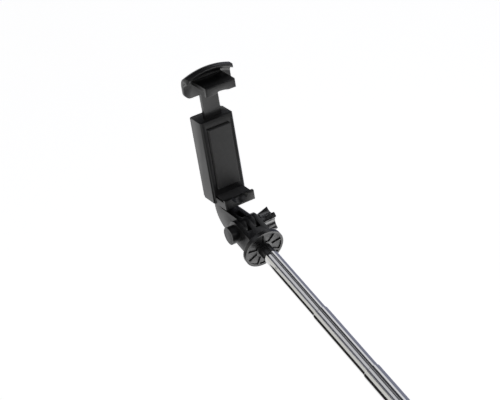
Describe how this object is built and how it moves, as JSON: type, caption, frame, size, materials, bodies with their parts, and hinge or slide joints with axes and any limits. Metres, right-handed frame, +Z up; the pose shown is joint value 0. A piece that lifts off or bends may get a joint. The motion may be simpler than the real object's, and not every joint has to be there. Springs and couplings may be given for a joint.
{
  "type": "selfie stick",
  "caption": "Telescopic selfie stick with a round handle, shutter button, tilting hinge with thumb knob and a spring clamp that holds a phone.",
  "frame": {"origin": "mouth of the tripod thread in the handle's end, on the rod's axis", "axes": "+Y along the rod from the handle to the head, +Z up on the shutter button's side, X along the head's hinge"},
  "size_m": [0.0335, 0.5067, 0.1062],
  "materials": {
    "polished_steel": "polished drawn stainless tube",
    "black_plastic": "satin moulded black plastic",
    "knob_plastic": "satin moulded black plastic",
    "soft_rubber": "matt black rubber",
    "grip_rubber": "matt ribbed rubber",
    "zinc_steel": "zinc plated steel",
    "spring_steel": "spring steel",
    "brass": "turned brass",
    "collar_metal": "turned and anodised",
    "board": "green circuit board",
    "cell_wrap": "shrink wrap",
    "wire_red": "insulated lead",
    "button_plastic": "smooth black plastic",
    "light": "clear light pipe"
  },
  "bodies": {
    "handle": {"handle_tube": "polished_steel", "upper_shell": "black_plastic", "lower_shell": "black_plastic", "shell_screw": "zinc_steel", "grip_sleeve": "grip_rubber", "top_collar": "collar_metal", "end_cap": "black_plastic", "thread_insert": "brass", "cap_screws": "zinc_steel", "battery": "cell_wrap", "circuit_board": "board", "button_switch": "black_plastic", "charge_port": "zinc_steel", "status_light": "light", "battery_leads": "wire_red"},
    "button": {"shutter_button": "button_plastic"},
    "stage_6": {"tube_6": "polished_steel", "friction_sleeve_6": "spring_steel"},
    "stage_5": {"tube_5": "polished_steel", "friction_sleeve_5": "spring_steel"},
    "stage_4": {"tube_4": "polished_steel", "friction_sleeve_4": "spring_steel"},
    "stage_3": {"tube_3": "polished_steel", "friction_sleeve_3": "spring_steel"},
    "stage_2": {"tube_2": "polished_steel", "friction_sleeve_2": "spring_steel"},
    "head": {"tube_1": "polished_steel", "friction_sleeve_1": "spring_steel", "plug_pin": "zinc_steel", "head_base": "black_plastic", "pivot_nut": "zinc_steel", "nut_cap": "black_plastic"},
    "washer": {"knob_washer": "black_plastic"},
    "knob": {"thumb_knob": "knob_plastic", "pivot_bolt": "zinc_steel"},
    "clamp": {"clamp_body": "black_plastic", "back_cover": "black_plastic", "cover_screws": "zinc_steel", "lower_pad": "soft_rubber", "back_pad": "soft_rubber", "jaw_spring_left": "spring_steel", "jaw_spring_right": "spring_steel"},
    "jaw": {"upper_jaw": "black_plastic", "upper_pad": "soft_rubber", "spring_bar": "zinc_steel"}
  },
  "joints": [
    {"name": "button_press", "type": "slide", "parent": "handle", "child": "button", "axis": [0, 0, -1], "range_m": [0, 0.0005], "stiffness_N_per_m": 1500, "springref_m": -0.0005},
    {"name": "tube_6_slide", "type": "slide", "parent": "handle", "child": "stage_6", "axis": [0, 1, 0], "range_m": [-0.0498, 0]},
    {"name": "tube_5_slide", "type": "slide", "parent": "stage_6", "child": "stage_5", "axis": [0, 1, 0], "range_m": [-0.0498, 0]},
    {"name": "tube_4_slide", "type": "slide", "parent": "stage_5", "child": "stage_4", "axis": [0, 1, 0], "range_m": [-0.0498, 0]},
    {"name": "tube_3_slide", "type": "slide", "parent": "stage_4", "child": "stage_3", "axis": [0, 1, 0], "range_m": [-0.0498, 0]},
    {"name": "tube_2_slide", "type": "slide", "parent": "stage_3", "child": "stage_2", "axis": [0, 1, 0], "range_m": [-0.0498, 0]},
    {"name": "tube_1_slide", "type": "slide", "parent": "stage_2", "child": "head", "axis": [0, 1, 0], "range_m": [-0.0498, 0]},
    {"name": "knob_lift", "type": "slide", "parent": "head", "child": "washer", "axis": [1, 0, 0], "range_m": [0, 0.0016]},
    {"name": "knob_turn", "type": "hinge", "parent": "washer", "child": "knob", "pos_m": [0, 0.4573, 0], "axis": [1, 0, 0], "range_deg": [0, 721]},
    {"name": "clamp_tilt", "type": "hinge", "parent": "head", "child": "clamp", "pos_m": [0, 0.4573, 0], "axis": [1, 0, 0], "range_deg": [-72, 70]},
    {"name": "jaw_slide", "type": "slide", "parent": "clamp", "child": "jaw", "axis": [0, 0.309, 0.9511], "range_m": [-0.015, 0.0165], "stiffness_N_per_m": 250, "deforming": ["jaw_spring_left", "jaw_spring_right"]}
  ],
  "couplings": [
    {"joint": "knob_turn", "follows": "knob_lift", "rad_per_m": 7854}
  ]
}
